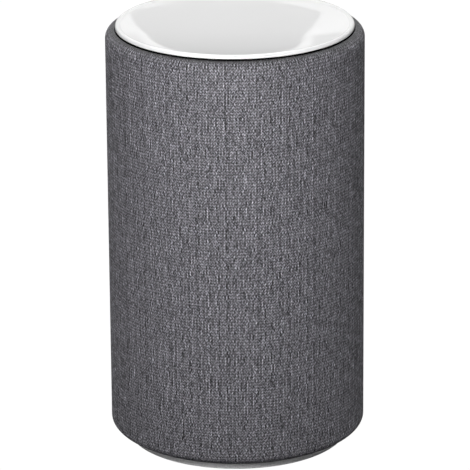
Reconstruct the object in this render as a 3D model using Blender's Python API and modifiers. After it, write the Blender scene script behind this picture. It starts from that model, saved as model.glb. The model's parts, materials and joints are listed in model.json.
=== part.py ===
"""Cylindrical fabric-covered smart speaker, modelled as the assembly that comes apart on a bench.

Frame: metres, +Z up, origin at the centre of the foot ring's contact plane, +Y towards the rear port panel.
Dimensions below are written in millimetres and multiplied by MM.
"""
import math

import bmesh
import bpy
from mathutils import Matrix, Vector

MM = 0.001

# ---- driving dimensions, millimetres -------------------------------------------------------
BODY_R = 44.0            # outside of the knit sleeve
TOTAL_H = 148.0          # crown of the white rim above the table
SLEEVE_T = 0.9           # knit thickness
SLEEVE_TOP_Z = 146.2     # highest point of the sleeve's shoulder
SHOULDER_R = 3.2         # shoulder radius
HEEL_W, HEEL_H = 8.4, 4.2  # the sleeve's lower edge curls in along a quarter ellipse
HEEL_Z = 6.5             # where that curl starts
GRILLE_GAP = 0.25        # air between sleeve and grille tube
GRILLE_T = 1.5           # wall of the grille tube
RIM_R = 40.7             # outside of the white dish's rim
RIM_LOW_Z = 146.75       # lower edge of that rim, where the black shadow gap starts
DISH_R = 38.7            # where the bowl meets the rim's crown
DISH_LIP_Z = 147.55
DISH_FLOOR_Z = 145.0     # lowest point of the bowl
DISH_T = 1.8             # wall of the dish
BASE_R = 38.0            # outside of the grey base ring
BASE_TOP_Z = 1.95        # top of the visible part of the base ring
PORT_Z = 14.2            # height of the rear port panel's centre
PORT_W, PORT_H = 32.0, 12.0
ENC_R, ENC_WALL = 38.2, 2.2
ENC_Z0, ENC_Z1 = 42.2, 106.0
WOOFER_TRAVEL = 2.5      # each way
MUTE_TRAVEL = 2.4
SEG_OUT, SEG_MID, SEG_IN = 32, 24, 16

# ---- scene ---------------------------------------------------------------------------------
for old in list(bpy.data.objects):
    bpy.data.objects.remove(old, do_unlink=True)
part_col = bpy.data.collections.new("smart_speaker")
cut_col = bpy.data.collections.new("cutters")
for col in (part_col, cut_col):
    bpy.context.scene.collection.children.link(col)


def material(name, colour, roughness, metallic=0.0):
    mat = bpy.data.materials.new(name)
    mat.use_nodes = True
    bsdf = mat.node_tree.nodes["Principled BSDF"]
    bsdf.inputs["Base Color"].default_value = (*colour, 1.0)
    bsdf.inputs["Roughness"].default_value = roughness
    bsdf.inputs["Metallic"].default_value = metallic
    return mat


LOOKS = {
    "knit_fabric": ((0.115, 0.115, 0.125), 0.95, 0.0),
    "gloss_white": ((0.82, 0.82, 0.82), 0.12, 0.0),
    "black_plastic": ((0.02, 0.02, 0.022), 0.5, 0.0),
    "satin_grey": ((0.24, 0.24, 0.24), 0.4, 0.0),
    "soft_rubber": ((0.03, 0.03, 0.03), 0.8, 0.0),
    "diffuser": ((0.85, 0.87, 0.9), 0.35, 0.0),
    "circuit_board": ((0.02, 0.12, 0.05), 0.45, 0.0),
    "steel": ((0.55, 0.55, 0.56), 0.3, 1.0),
    "black_steel": ((0.03, 0.03, 0.03), 0.4, 0.7),
    "aluminium": ((0.7, 0.7, 0.72), 0.35, 1.0),
    "ferrite": ((0.06, 0.06, 0.065), 0.6, 0.0),
    "paper_cone": ((0.05, 0.05, 0.05), 0.85, 0.0),
    "cotton": ((0.45, 0.3, 0.12), 0.9, 0.0),
    "copper": ((0.7, 0.3, 0.12), 0.35, 1.0),
    "foam": ((0.12, 0.12, 0.12), 1.0, 0.0),
    "film": ((0.55, 0.35, 0.1), 0.4, 0.0),
    "silk": ((0.35, 0.33, 0.3), 0.7, 0.0),
}


def empty(name, at=(0, 0, 0)):
    obj = bpy.data.objects.new(name, None)
    obj.location = Vector(at) * MM
    part_col.objects.link(obj)
    return obj


chassis = empty("chassis_frame")
woofer_axis = empty("woofer_axis", (0, 0, 50))
tweeter_axis = empty("tweeter_axis", (0, 0, 106))
mute_axis = empty("mute_axis", (9.3, 36.2, PORT_Z))
reset_axis = empty("reset_axis", (-10.5, 36.0, PORT_Z))


def put(name, mesh, look, at, parent=None, cutter=False):
    """Links a mesh whose points are relative to at (millimetres) as a part, or as a cutter."""
    obj = bpy.data.objects.new(name, mesh)
    (cut_col if cutter else part_col).objects.link(obj)
    if cutter:
        obj.hide_render = True
        obj.display_type = "WIRE"
        obj.location = Vector(at) * MM
        return obj
    parent = parent or chassis
    obj.parent = parent
    obj.location = Vector(at) * MM - parent.location
    mesh.materials.append(material(name, *LOOKS[look]))
    obj["slot"] = look
    return obj


def turned(name, pts, segs, look="", at=0.0, closed=None, centre=(0, 0), parent=None, cutter=False, turn=0.0):
    """A turned shape: (radius, z) points in millimetres, running down the outer side, on a Screw modifier.
    A loop is closed unless it starts and ends on the axis."""
    if closed is None:
        closed = not (pts[0][0] == 0 and pts[-1][0] == 0)
    mesh = bpy.data.meshes.new(name)
    verts = [(r * MM * math.cos(turn), r * MM * math.sin(turn), (z - at) * MM) for r, z in pts]
    edges = [(i, i + 1) for i in range(len(verts) - 1)]
    if closed:
        edges.append((len(verts) - 1, 0))
    mesh.from_pydata(verts, edges, [])
    obj = put(name, mesh, look, (centre[0], centre[1], at), parent, cutter)
    screw = obj.modifiers.new("turn", "SCREW")
    screw.axis = "Z"
    screw.angle = 2 * math.pi
    screw.steps = screw.render_steps = segs
    screw.use_merge_vertices = True
    screw.merge_threshold = 0.00001
    screw.use_smooth_shade = True
    return obj


def shell(name, pts, thickness, segs, look, at=0.0):
    """A turned open surface given a wall inwards."""
    obj = turned(name, pts, segs, look, at, closed=False)
    wall = obj.modifiers.new("wall", "SOLIDIFY")
    wall.thickness = thickness * MM
    wall.offset = -1
    wall.use_even_offset = True
    return obj


def boxes(name, list_of, look="", parent=None, cutter=False, at=None, bevel=0.0):
    """One or more boxes ((x0, x1), (y0, y1), (z0, z1)[, turn about Z in degrees]) in one mesh."""
    first = list_of[0]
    if at is None:
        at = [(a + b) / 2 for a, b in first[:3]]
    bm = bmesh.new()
    for item in list_of:
        size = [b - a for a, b in item[:3]]
        mid = [(a + b) / 2 for a, b in item[:3]]
        m = Matrix.Translation(Vector(mid) * MM) @ Matrix.Diagonal((size[0] * MM, size[1] * MM, size[2] * MM, 1))
        if len(item) > 3:
            m = Matrix.Rotation(math.radians(item[3]), 4, "Z") @ m
        bmesh.ops.create_cube(bm, size=1.0, matrix=Matrix.Translation(-Vector(at) * MM) @ m)
    mesh = bpy.data.meshes.new(name)
    bm.to_mesh(mesh)
    bm.free()
    obj = put(name, mesh, look, at, parent, cutter)
    if bevel:
        mod = obj.modifiers.new("edges", "BEVEL")
        mod.width = bevel * MM
        mod.segments = 1
        mod.limit_method = "ANGLE"
    return obj


def rods(name, list_of, segs, look="", parent=None, cutter=False, at=None):
    """One or more round bars (radius, start point, end point) in one mesh."""
    if at is None:
        at = [(a + b) / 2 for a, b in zip(list_of[0][1], list_of[0][2])]
    bm = bmesh.new()
    for r, p0, p1 in list_of:
        a, b = Vector(p0) * MM, Vector(p1) * MM
        way = (b - a).normalized()
        turn = way.to_track_quat("Z", "Y").to_matrix().to_4x4()
        m = Matrix.Translation((a + b) / 2 - Vector(at) * MM) @ turn
        bmesh.ops.create_cone(bm, cap_ends=True, segments=segs, radius1=r * MM, radius2=r * MM, depth=(b - a).length, matrix=m)
    mesh = bpy.data.meshes.new(name)
    bm.to_mesh(mesh)
    bm.free()
    return put(name, mesh, look, at, parent, cutter)


def boolean(obj, other, kind="DIFFERENCE"):
    mod = obj.modifiers.new(kind.lower(), "BOOLEAN")
    mod.operation = kind
    mod.object = other
    mod.solver = "EXACT"
    return obj


def polar(r, degrees, z=None):
    a = math.radians(degrees)
    p = (r * math.cos(a), r * math.sin(a))
    return p if z is None else (*p, z)


def arc(cr, cz, a, b, start, end, steps):
    """Points on an ellipse of semi-axes a and b about (cr, cz), angles in degrees from +r towards +z."""
    out = []
    for i in range(steps + 1):
        t = math.radians(start + (end - start) * i / steps)
        out.append((cr + a * math.cos(t), cz + b * math.sin(t)))
    return out


def wire(name, points, radius, look, fine=6):
    """A lead along a smooth curve through points (millimetres), as a POLY spline with a round bevel."""
    pts = [Vector(p) for p in points]
    dense = []
    for i in range(len(pts) - 1):
        p0, p1, p2, p3 = pts[max(i - 1, 0)], pts[i], pts[i + 1], pts[min(i + 2, len(pts) - 1)]
        for k in range(fine):
            t = k / fine
            dense.append(0.5 * ((2 * p1) + (p2 - p0) * t + (2 * p0 - 5 * p1 + 4 * p2 - p3) * t * t + (3 * p1 - p0 - 3 * p2 + p3) * t ** 3))
    dense.append(pts[-1])
    curve = bpy.data.curves.new(name, "CURVE")
    curve.dimensions = "3D"
    spline = curve.splines.new("POLY")
    spline.points.add(len(dense) - 1)
    origin = dense[0]
    for point, p in zip(spline.points, dense):
        point.co = (*((p - origin) * MM), 1.0)
    curve.bevel_depth = radius * MM
    curve.bevel_resolution = 1
    curve.use_fill_caps = True
    return put(name, curve, look, origin)


def screw_part(name, x, y, head_z, shank, look="steel", up=True, head_r=2.2, head_h=1.2, shank_r=1.05):
    """A pan-head screw. up: the head is on top at head_z (its underside) and the shank runs down; otherwise the reverse."""
    s = 1 if up else -1
    pts = [(0, head_h), (head_r * 0.8, head_h), (head_r, 0), (shank_r, 0), (shank_r, -shank + 0.8), (0, -shank)]
    pts = [(r, head_z + s * z) for r, z in pts]
    if not up:
        pts = pts[::-1]
    return turned(name, pts, 8, look, at=head_z, centre=(x, y))


# ---- outer skin ----------------------------------------------------------------------------
def skin(offset, steps_top, steps_low, low_end=80, high_end=90):
    """The speaker's outside as a profile, moved inwards by offset: shoulder, wall and curled-in heel."""
    sr, sz = BODY_R - SHOULDER_R, SLEEVE_TOP_Z - SHOULDER_R
    top = arc(sr, sz, SHOULDER_R - offset, SHOULDER_R - offset, high_end, 0, steps_top)
    low = arc(BODY_R - HEEL_W, HEEL_Z, HEEL_W - offset, HEEL_H - offset, 0, -low_end, steps_low)
    return top + low


def port_prism(name, grow, y0, y1, cutter=True):
    """The port panel's oblong outline, swept along Y."""
    r = PORT_H / 2 + grow
    half = PORT_W / 2 - PORT_H / 2
    outline = []
    for k in range(9):
        t = math.radians(-90 + 180 * k / 8)
        outline.append((half + r * math.cos(t), r * math.sin(t)))
    for k in range(9):
        t = math.radians(90 + 180 * k / 8)
        outline.append((-half + r * math.cos(t), r * math.sin(t)))
    curve = bpy.data.curves.new(name, "CURVE")
    curve.dimensions = "2D"
    curve.fill_mode = "BOTH"
    curve.extrude = (y1 - y0) / 2 * MM
    spline = curve.splines.new("POLY")
    spline.points.add(len(outline) - 1)
    for point, (x, z) in zip(spline.points, outline):
        point.co = (x * MM, z * MM, 0, 1)
    spline.use_cyclic_u = True
    guide = bpy.data.objects.new(name + "_outline", curve)
    cut_col.objects.link(guide)
    guide.rotation_euler = (math.radians(90), 0, 0)
    guide.location = Vector((0, (y0 + y1) / 2, PORT_Z)) * MM
    bpy.context.view_layer.update()
    graph = bpy.context.evaluated_depsgraph_get()
    mesh = bpy.data.meshes.new_from_object(guide.evaluated_get(graph))
    bm = bmesh.new()
    bm.from_mesh(mesh)
    bmesh.ops.remove_doubles(bm, verts=bm.verts, dist=1e-6)
    bmesh.ops.recalc_face_normals(bm, faces=bm.faces)
    bm.to_mesh(mesh)
    bm.free()
    obj = bpy.data.objects.new(name, mesh)
    obj.matrix_world = guide.matrix_world.copy()
    bpy.data.objects.remove(guide, do_unlink=True)
    cut_col.objects.link(obj)
    obj.hide_render = True
    obj.display_type = "WIRE"
    return obj


sleeve = shell("fabric_sleeve", skin(0.0, 4, 4), SLEEVE_T, SEG_OUT, "knit_fabric")
boolean(sleeve, port_prism("sleeve_port_cut", 0.3, 36, 50))

inner = SLEEVE_T + GRILLE_GAP
grille = shell("grille_tube", skin(inner, 3, 3, low_end=64, high_end=80), GRILLE_T, SEG_OUT, "black_plastic")
boolean(grille, port_prism("grille_port_cut", 0.3, 34, 50))
slots = [((36, 50), (-4.6, 4.6), (24.0, 40.0), 45 * k + 22.5) for k in range(8)]
slots += [((36, 50), (-4.6, 4.6), (107.5, 120.0), 45 * k + 22.5) for k in range(8)]
boolean(grille, boxes("grille_slots", slots, cutter=True, at=(0, 0, 0)))

# ---- top: dish, trim, light, sensor board ---------------------------------------------------
BOWL_RHO = (DISH_R ** 2 + (DISH_LIP_Z - DISH_FLOOR_Z) ** 2) / (2 * (DISH_LIP_Z - DISH_FLOOR_Z))


def bowl(r, offset=0.0):
    """Height of the bowl at radius r; offset moves it down along its normal."""
    rho = BOWL_RHO + offset
    return DISH_FLOOR_Z + BOWL_RHO - math.sqrt(rho * rho - r * r)


def bowl_points(radii, offset=0.0):
    return [(r, bowl(r, offset)) for r in radii]


dish_top = [(0, DISH_FLOOR_Z)] + bowl_points([11, 21, 30, DISH_R])
rim = [(39.2, 147.9), (39.7, TOTAL_H), (40.3, 147.8), (40.65, 147.35), (RIM_R, RIM_LOW_Z)]
under = [(38.4, RIM_LOW_Z), (38.2, 143.2), (36.6, 143.2), (36.5, bowl(36.5, DISH_T))]
dish_low = bowl_points([26, 13], DISH_T) + [(0, DISH_FLOOR_Z - DISH_T)]
turned("top_dish", dish_top + rim + under + dish_low, SEG_OUT, "gloss_white", at=140)

turned("top_trim_ring", [(38.75, 146.45), (40.35, 146.45), (40.35, 143.2), (38.75, 143.2)], SEG_OUT, "black_plastic", at=145)
foil = [(0, bowl(0, DISH_T + 0.5))] + bowl_points([15, 30], DISH_T + 0.5)
foil += bowl_points([30, 15], DISH_T + 0.8) + [(0, bowl(0, DISH_T + 0.8))]
turned("touch_foil", foil, SEG_MID, "film", at=140)
turned("light_guide_ring", [(33.4, 143.3), (35.6, 143.3), (35.6, 137.2), (33.4, 137.2)], SEG_OUT, "diffuser", at=140)

TOP_PCB = (134.6, 136.0)
top_pcb = turned("top_pcb", [(0, TOP_PCB[1]), (36.4, TOP_PCB[1]), (36.4, TOP_PCB[0]), (0, TOP_PCB[0])], SEG_MID, "circuit_board", at=135.3)
chips = [((33.7, 35.3), (-0.9, 0.9), (135.7, 136.8), 30 * k) for k in range(12)]
chips += [((27.5, 30.5), (-1.9, 1.9), (135.7, 137.0), 90 * k + 45) for k in range(4)]
chips += [((17.5, 22.5), (-2.5, 2.5), (135.7, 136.9), 200), ((-6, 6), (-25.5, -22.5), (135.7, 137.2))]
boolean(top_pcb, boxes("top_pcb_parts", chips, cutter=True, at=(0, 0, 0)), "UNION")

top_frame = turned("top_frame", [(0, 133), (38.4, 133), (38.9, 142.9), (40.5, 142.9), (40.5, 131), (0, 131)], SEG_OUT, "black_plastic", at=132)
boolean(top_frame, boxes("ribbon_slot", [((-5.5, 5.5), (-25.2, -22.8), (129, 135))], cutter=True))
boolean(top_frame, rods("top_screw_holes", [(1.5, polar(30, a, 129), polar(30, a, 135)) for a in (90, 210, 330)], 10, cutter=True, at=(0, 0, 0)))

# ---- electronics carrier and logic board ---------------------------------------------------
upper = turned("upper_frame", [(0, 123), (38.4, 123), (38.4, 121), (16, 121), (9.5, 118.9), (4.5, 115.8), (0, 112.2)], SEG_MID, "black_plastic", at=122)
studs = [(3.4, polar(33, a, 122), polar(33, a, 124.7)) for a in (30, 150, 270)]
studs += [(3.2, polar(30, a, 122), polar(30, a, 130.7)) for a in (90, 210, 330)]
boolean(upper, rods("upper_frame_studs", studs, 12, cutter=True, at=(0, 0, 0)), "UNION")
holes = [(1.4, polar(33, a, 119), polar(33, a, 126)) for a in (30, 150, 270)]
holes += [(1.3, polar(30, a, 124.5), polar(30, a, 132)) for a in (90, 210, 330)]
holes += [(1.5, polar(33, 60, 119), polar(33, 60, 126)), (1.5, polar(27, 0, 119), polar(27, 0, 126))]
boolean(upper, rods("upper_frame_holes", holes, 10, cutter=True, at=(0, 0, 0)))

MAIN_PCB = (125.0, 126.6)
main_pcb = turned("main_pcb", [(0, MAIN_PCB[1]), (35.5, MAIN_PCB[1]), (35.5, MAIN_PCB[0]), (0, MAIN_PCB[0])], SEG_MID, "circuit_board", at=126)
parts = [((-23, -15), (6, 16), (126.3, 128.0)), ((-22, -17), (-7, -3), (126.3, 128.6)), ((15, 22), (7, 12), (126.3, 129.2)),
         ((15, 22), (-4, 3), (126.3, 129.2)), ((-5.5, 5.5), (-22.5, -19.5), (126.3, 128.2)), ((28.5, 33), (-2.6, 2.6), (126.3, 129.2), 45)]
boolean(main_pcb, boxes("main_pcb_parts", parts, cutter=True, at=(0, 0, 0)), "UNION")
holes = [(1.5, polar(33, a, 120), polar(33, a, 130)) for a in (30, 150, 270)]
holes += [(3.6, polar(30, a, 120), polar(30, a, 130)) for a in (90, 210, 330)]
boolean(main_pcb, rods("main_pcb_holes", holes, 10, cutter=True, at=(0, 0, 0)))
boxes("shield_can", [((-11, 11), (-9, 9), (126.9, 128.4))], "steel", bevel=0.4)
sink = boxes("heat_sink", [((-13, 13), (-10, 10), (128.7, 129.5))], "aluminium")
boolean(sink, boxes("heat_sink_fins", [((-12.4 + 4.13 * k, -11.5 + 4.13 * k), (-9.5, 9.5), (129.2, 130.7)) for k in range(7)], cutter=True, at=(0, 0, 0)), "UNION")

# ---- acoustic enclosure --------------------------------------------------------------------
ri = ENC_R - ENC_WALL
enc = turned("enclosure", [(12.7, ENC_Z1), (ENC_R, ENC_Z1), (ENC_R, ENC_Z0), (29.2, ENC_Z0), (29.2, 45.0), (ri, 45.0), (ri, 103.0), (12.7, 103.0)], SEG_OUT, "black_plastic", at=74)
posts = [(3.0, polar(33, a, 105), polar(33, a, 120.7)) for a in (30, 150, 270)]
boolean(enc, rods("enclosure_posts", posts, 12, cutter=True, at=(0, 0, 0)), "UNION")
legs = [(2.3, polar(35.7, a, 22.3), polar(35.7, a, 43.5)) for a in (0, 120, 240)]
boolean(enc, rods("enclosure_legs", legs, 12, cutter=True, at=(0, 0, 0)), "UNION")
holes = [(1.25, polar(33, a, 112), polar(33, a, 123)) for a in (30, 150, 270)]
holes += [(1.25, polar(35.7, a, 18), polar(35.7, a, 30)) for a in (0, 120, 240)]
holes += [(1.25, polar(31.2, a, 40), polar(31.2, a, 47)) for a in (45, 135, 225, 315)]
holes += [(1.4, polar(33, 60, 100), polar(33, 60, 108))]
boolean(enc, rods("enclosure_holes", holes, 10, cutter=True, at=(0, 0, 0)))

turned("damping_foam", [(9, 92), (29.5, 92), (29.5, 79), (9, 79)], SEG_IN, "foam", at=85)

# ---- tweeter, firing up at the cone under the carrier ---------------------------------------
turned("tweeter_faceplate", [(9.6, 108.3), (16, 107.4), (16, 106.3), (8.8, 106.3), (8.8, 107.3)], SEG_IN, "black_plastic", at=107)
dome_out = [(0, 110.3)] + arc(0, 107.4, 8.2, 2.9, 65, 0, 4)
dome_in = [(8.2, 107.0), (7.35, 107.0), (7.35, 101.8), (7.0, 101.8), (7.0, 107.2)] + arc(0, 107.4, 7.6, 2.5, 25, 65, 2) + [(0, 109.9)]
turned("tweeter_dome", dome_out + dome_in, SEG_IN, "silk", at=106, parent=tweeter_axis)
turned("tweeter_yoke", [(0, 98.5), (8.0, 98.5), (8.0, 105.6), (12.0, 105.6), (12.0, 96.5), (0, 96.5)], SEG_IN, "steel", at=100)
turned("tweeter_magnet", [(0, 102.2), (6.0, 102.2), (6.0, 98.8), (0, 98.8)], SEG_IN, "steel", at=100)
turned("tweeter_pole_plate", [(0, 104.5), (6.6, 104.5), (6.6, 102.5), (0, 102.5)], SEG_IN, "steel", at=103)

# ---- woofer, firing down at the cone of the lower frame -------------------------------------
basket = turned("woofer_basket", [(12.8, 56.4), (23.2, 56.4), (28.4, 43.6), (28.4, 41.6), (33.0, 41.6), (33.0, 40.4), (27.2, 40.4),
                                  (27.2, 43.2), (22.0, 52.4), (19.4, 52.4), (19.4, 55.2), (12.8, 55.2)], SEG_MID, "black_steel", at=50)
boolean(basket, boxes("basket_windows", [((20, 32), (-6.0, 6.0), (44.8, 51.6), 60 * k + 15) for k in range(6)], cutter=True, at=(0, 0, 0)))
boolean(basket, rods("basket_holes", [(1.35, polar(31.2, a, 39), polar(31.2, a, 43)) for a in (45, 135, 225, 315)], 10, cutter=True, at=(0, 0, 0)))
turned("woofer_gasket", [(28.8, 42.05), (30.0, 42.05), (30.0, 41.75), (28.8, 41.75)], SEG_MID, "soft_rubber", at=42)
roll = arc(24.1, 39.9, 2.5, 2.5, 0, -180, 5)[1:-1]
roll_in = arc(24.1, 39.9, 2.0, 2.0, -180, 0, 5)[1:-1]
turned("woofer_surround", [(26.3, 40.1), (28.8, 40.1), (28.8, 39.6), (26.6, 39.6)] + roll + [(21.5, 40.1), (20.4, 40.35), (20.4, 40.85), (21.9, 40.7)] + roll_in,
       SEG_MID, "soft_rubber", at=40)
turned("woofer_cone", [(9.95, 50.4), (10.6, 50.4), (22.0, 41.85), (22.0, 41.2), (21.4, 41.2), (9.95, 49.75)], SEG_MID, "paper_cone", at=50, parent=woofer_axis)
cap_out = arc(0, 47.9, 11.2, 3.6, 0, -90, 4)
cap_in = arc(0, 47.9, 10.7, 3.1, -90, 0, 4)
turned("woofer_dust_cap", [(0, 44.8)] + cap_in[1:] + cap_out[:-1] + [(0, 44.3)], SEG_IN, "paper_cone", at=50, parent=woofer_axis)
turned("woofer_voice_coil", [(9.35, 63.2), (9.7, 63.2), (9.7, 62.2), (10.45, 62.2), (10.45, 55.2), (9.7, 55.2), (9.7, 48.6), (9.35, 48.6)], SEG_MID, "copper", at=50, parent=woofer_axis)
waves = [(21.8, 52.1), (21.8, 51.7), (19.6, 51.7), (17.6, 51.5), (15.8, 52.9), (14.0, 52.7), (12.2, 54.2), (10.05, 54.4)]
turned("woofer_spider", waves + [(r, z + 0.45) for r, z in waves[3:]][::-1] + [(19.6, 52.1)], SEG_MID, "cotton", at=52)
turned("woofer_top_plate", [(11.1, 60.7), (20.0, 60.7), (20.0, 56.7), (11.1, 56.7)], SEG_MID, "steel", at=58)
turned("woofer_magnet", [(13.0, 69.0), (21.5, 69.0), (21.5, 61.0), (13.0, 61.0)], SEG_MID, "ferrite", at=65)
turned("woofer_yoke", [(3.0, 73.3), (20.5, 73.3), (20.5, 69.3), (9.0, 69.3), (9.0, 56.7), (3.0, 56.7)], SEG_MID, "steel", at=70)

# ---- lower frame with the woofer's deflector ------------------------------------------------
low = turned("lower_frame", [(0, 34.5), (3.0, 33.4), (8.0, 29.6), (15.0, 25.0), (24.0, 22.0), (38.2, 22.0), (38.2, 20.0), (20, 20.0), (0, 24)], SEG_MID, "black_plastic", at=21)
boolean(low, rods("lower_bosses", [(3.0, polar(19, a, 3.7), polar(19, a, 21.2)) for a in (45, 135, 225, 315)], 12, cutter=True, at=(0, 0, 0)), "UNION")
holes = [(1.25, polar(19, a, 2), polar(19, a, 13)) for a in (45, 135, 225, 315)]
holes += [(1.4, polar(35.7, a, 18), polar(35.7, a, 24)) for a in (0, 120, 240)]
boolean(low, rods("lower_holes", holes, 10, cutter=True, at=(0, 0, 0)))

# ---- power board, ports and controls --------------------------------------------------------
POWER_PCB = (5.4, 7.0)
power_pcb = turned("power_pcb", [(0, POWER_PCB[1]), (34.0, POWER_PCB[1]), (34.0, POWER_PCB[0]), (0, POWER_PCB[0])], SEG_MID, "circuit_board", at=6.2)
parts = [((6.5, 14.5), (26.0, 35.3), (6.7, 16.2)), ((-12.5, -8.5), (27.0, 34.8), (6.7, 16.1)), ((-6, 6), (-8, 4), (6.7, 9.0)), ((-26, -19), (-4, 4), (6.7, 11.5)),
         ((20, 26), (-5, 1), (6.7, 10.5)), ((27.0, 32.0), (-2.6, 2.6), (6.7, 10.0), 45), ((-5, 5), (-29, -25), (6.7, 12.5))]
boolean(power_pcb, boxes("power_pcb_parts", parts, cutter=True, at=(0, 0, 0)), "UNION")
boolean(power_pcb, rods("power_pcb_holes", [(3.4, polar(19, a, 3), polar(19, a, 9)) for a in (45, 135, 225, 315)], 10, cutter=True, at=(0, 0, 0)))
turned("bulk_capacitor", [(0, 18.5), (4.6, 18.5), (5.0, 18.0), (5.0, 7.3), (0, 7.3)], 20, "aluminium", at=12, centre=(-24, 13))

jack = boxes("dc_jack", [((-4.5, 4.5), (24.5, 39.2), (7.3, 19.0))], "black_plastic")
boolean(jack, rods("jack_nozzle", [(4.1, (0, 38, PORT_Z), (0, 43.8, PORT_Z))], 24, cutter=True), "UNION")
boolean(jack, rods("jack_bore", [(3.15, (0, 31, PORT_Z), (0, 46, PORT_Z))], 24, cutter=True))
boolean(jack, rods("jack_pin", [(1.0, (0, 29, PORT_Z), (0, 40.0, PORT_Z))], 10, cutter=True), "UNION")

panel = turned("port_panel", [(40.6, 20.5), (43.9, 20.5), (43.9, 6.5), (40.6, 6.5)], SEG_OUT, "black_plastic", at=PORT_Z)
boolean(panel, port_prism("port_outline", 0.0, 30, 50), "INTERSECT")
flange = turned("port_flange", [(39.8, 22.5), (40.95, 22.5), (40.95, 4.6), (39.8, 4.6)], SEG_OUT, cutter=True, at=PORT_Z)
boolean(flange, port_prism("port_flange_outline", 1.4, 30, 50), "INTERSECT")
boolean(panel, flange, "UNION")
boolean(panel, rods("port_holes", [(4.45, (0, 34, PORT_Z), (0, 48, PORT_Z)), (0.9, (-10.5, 34, PORT_Z), (-10.5, 48, PORT_Z))], 20, cutter=True, at=(0, 0, PORT_Z)))
boolean(panel, boxes("port_window", [((7.6, 13.4), (34, 48), (PORT_Z - 1.35, PORT_Z + 1.35))], cutter=True))

slider = boxes("mute_slider", [((7.9, 10.7), (35.9, 42.8), (PORT_Z - 1.0, PORT_Z + 1.0))], "gloss_white", parent=mute_axis)
boolean(slider, boxes("slider_plate", [((6.9, 11.7), (35.6, 36.6), (PORT_Z - 1.8, PORT_Z + 1.8))], cutter=True), "UNION")
rods("reset_button", [(1.5, (-10.5, 35.5, PORT_Z), (-10.5, 37.2, PORT_Z))], 14, "black_plastic", parent=reset_axis)

# ---- base ----------------------------------------------------------------------------------
cover = turned("base_cover", [(0, 3.4), (34.3, 3.4), (34.3, 1.5), (25.2, 1.5), (25.2, 0.6), (0, 0.6)], SEG_MID, "black_plastic", at=2)
boolean(cover, rods("cover_counterbores", [(2.6, polar(19, a, -1), polar(19, a, 2.2)) for a in (45, 135, 225, 315)], 12, cutter=True, at=(0, 0, 0)))
boolean(cover, rods("cover_holes", [(1.4, polar(19, a, 0), polar(19, a, 5)) for a in (45, 135, 225, 315)], 10, cutter=True, at=(0, 0, 0)))
turned("base_ring", [(34.6, 5.0), (36.4, 5.0), (36.4, BASE_TOP_Z), (37.7, BASE_TOP_Z), (BASE_R, 1.7), (BASE_R, 0.3), (37.8, 0.05), (34.6, 0.05)], SEG_OUT, "satin_grey", at=2)
turned("foot_pad", [(25.5, 1.2), (34.3, 1.2), (34.3, 0.2), (34.1, 0), (25.7, 0), (25.5, 0.2)], SEG_OUT, "soft_rubber", at=0)

# ---- leads ---------------------------------------------------------------------------------
ribbon = bpy.data.meshes.new("ribbon_cable")
path = [(-24.0, 128.5), (-24.6, 129.8), (-24.3, 131.2), (-23.7, 132.8), (-23.4, 134.2)]
ribbon.from_pydata([(-4.5 * MM, (y + 24) * MM, (z - 131) * MM) for y, z in path], [(i, i + 1) for i in range(len(path) - 1)], [])
bm = bmesh.new()
bm.from_mesh(ribbon)
grown = bmesh.ops.extrude_edge_only(bm, edges=bm.edges[:])
bmesh.ops.translate(bm, vec=(9 * MM, 0, 0), verts=[v for v in grown["geom"] if isinstance(v, bmesh.types.BMVert)])
bm.to_mesh(ribbon)
bm.free()
ribbon_obj = put("ribbon_cable", ribbon, "film", (0, -24, 131))
wall = ribbon_obj.modifiers.new("wall", "SOLIDIFY")
wall.thickness = 0.3 * MM
wall.offset = 0

wire("woofer_lead", [polar(25.5, 60, 58.0), polar(28, 60, 60.5), polar(32, 60, 66), polar(33, 60, 76), polar(33, 60, 100), polar(33, 60, 112), polar(33, 60, 124.6)], 0.8, "soft_rubber", fine=3)
wire("tweeter_lead", [polar(16.8, 0, 106.9), polar(20, 0, 107.0), polar(25, 0, 109.5), polar(27, 0, 114), polar(27, 0, 124.6)], 0.7, "soft_rubber", fine=3)
wire("power_cable", [polar(32.4, 45, 8.4), polar(36, 45, 9.4), polar(39.2, 45, 14), polar(39.8, 45, 24), polar(39.8, 45, 40), polar(39.8, 45, 60), polar(39.8, 45, 84), polar(39.8, 45, 104), polar(39.8, 45, 118), polar(39.4, 45, 125), polar(36.5, 45, 128), polar(33.4, 45, 128.1)],
     0.8, "soft_rubber", fine=3)

# ---- screws --------------------------------------------------------------------------------
for n, a in enumerate((45, 135, 225, 315), 1):
    screw_part(f"base_screw_{n}", *polar(19, a), 1.95, 9.0, up=False)
for n, a in enumerate((45, 135, 225, 315), 1):
    screw_part(f"woofer_screw_{n}", *polar(31.2, a), 40.1, 6.0, up=False, head_r=1.9, head_h=1.0)
for n, a in enumerate((0, 120, 240), 1):
    screw_part(f"lower_frame_screw_{n}", *polar(35.7, a), 19.7, 8.0, up=False)
for n, a in enumerate((30, 150, 270), 1):
    screw_part(f"upper_frame_screw_{n}", *polar(33, a), 126.9, 12.0)
for n, a in enumerate((90, 210, 330), 1):
    screw_part(f"top_frame_screw_{n}", *polar(30, a), 133.3, 7.0, head_h=1.0)

bpy.context.view_layer.update()
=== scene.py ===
import json
import math

import bmesh
import bpy
import numpy as np
from mathutils import Matrix, Vector
from mathutils.geometry import delaunay_2d_cdt


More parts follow.
